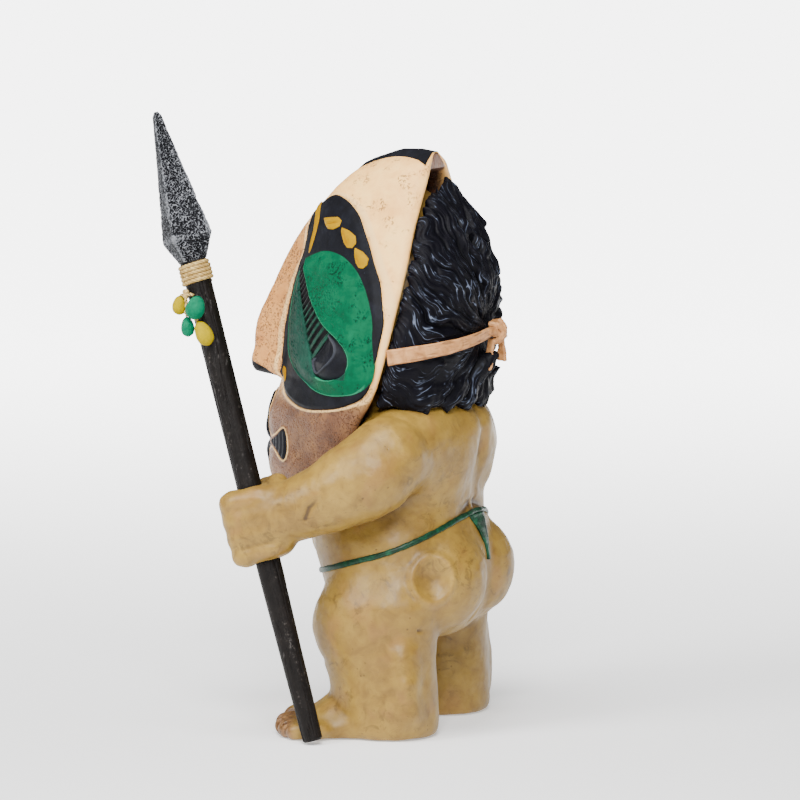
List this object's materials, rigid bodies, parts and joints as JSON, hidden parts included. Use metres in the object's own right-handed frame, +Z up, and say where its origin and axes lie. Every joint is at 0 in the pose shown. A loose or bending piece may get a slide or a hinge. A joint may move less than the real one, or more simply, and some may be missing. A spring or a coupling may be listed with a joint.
{
  "type": "tiki figure",
  "caption": "Standing cast tiki figure in a thong, wearing a large hollow carved mask tied behind the head, with a bound spear held upright in its left fist.",
  "frame": {"origin": "bottom centre of the whole object's bounding box, on the ground; the figure's own left-right middle is x = 0", "axes": "+Z up, -Y towards the figure's front (its nose), +X towards the figure's own left side, where it holds the spear"},
  "size_m": [0.1765, 0.1606, 0.3088],
  "materials": {
    "skin": "satin painted cast resin, ochre tan with a brown antiquing wash in the hollows",
    "hair": "black paint, dry-brushed silver blue on the ridges",
    "mask_paint": "peach cream paint, pinker and more pitted at the jaw and nose",
    "black_paint": "satin blue-black paint",
    "green_paint": "satin emerald paint over a pitted surface",
    "yellow_paint": "glossy golden yellow paint",
    "charm_green": "glossy green paint",
    "strap": "pinkish tan paint, cast as leather",
    "thong_green": "satin dark green paint",
    "spear_black": "near-black wood-grain casting with faint grey rubs",
    "spear_stone": "black chipped stone, dry-brushed silver",
    "twine": "cast twine, beige with a brown wash"
  },
  "bodies": {
    "figure": {"body_casting": "skin", "left_arm": "skin", "right_arm": "skin", "head": "skin", "hair": "hair", "mask_shell": "mask_paint", "mask_crest": "black_paint", "mask_mouth": "black_paint", "eye_surround_left": "black_paint", "eye_surround_right": "black_paint", "eye_dish_left": "green_paint", "eye_dish_right": "green_paint", "eye_comb_left": "black_paint", "eye_comb_right": "black_paint", "pupil_left": "black_paint", "pupil_right": "black_paint", "eye_drops_left": "yellow_paint", "eye_drops_right": "yellow_paint", "brow_line_left": "yellow_paint", "brow_line_right": "yellow_paint", "cheek_drop_left": "yellow_paint", "cheek_drop_right": "yellow_paint", "mask_strap_left": "strap", "mask_strap_right": "strap", "strap_knot": "strap", "strap_tails": "strap", "thong_waistband": "thong_green", "thong_back_strap": "thong_green", "thong_front_panel": "thong_green"},
    "spear": {"spear_shaft": "spear_black", "spear_head": "spear_stone", "spear_binding": "twine"},
    "charms": {"charm_cord": "twine", "charm_yellow_upper": "yellow_paint", "charm_green_upper": "charm_green", "charm_green_lower": "charm_green", "charm_yellow_lower": "yellow_paint"}
  },
  "joints": [
    {"name": "spear_lift", "type": "slide", "parent": "figure", "child": "spear", "axis": [-0.0252, -0.2672, 0.9633], "range_m": [0, 0.14]},
    {"name": "charm_swing", "type": "hinge", "parent": "spear", "child": "charms", "pos_m": [0.0791, -0.0588, 0.2202], "axis": [-0.5461, -0.8377, 0], "range_deg": [0, 70]}
  ]
}
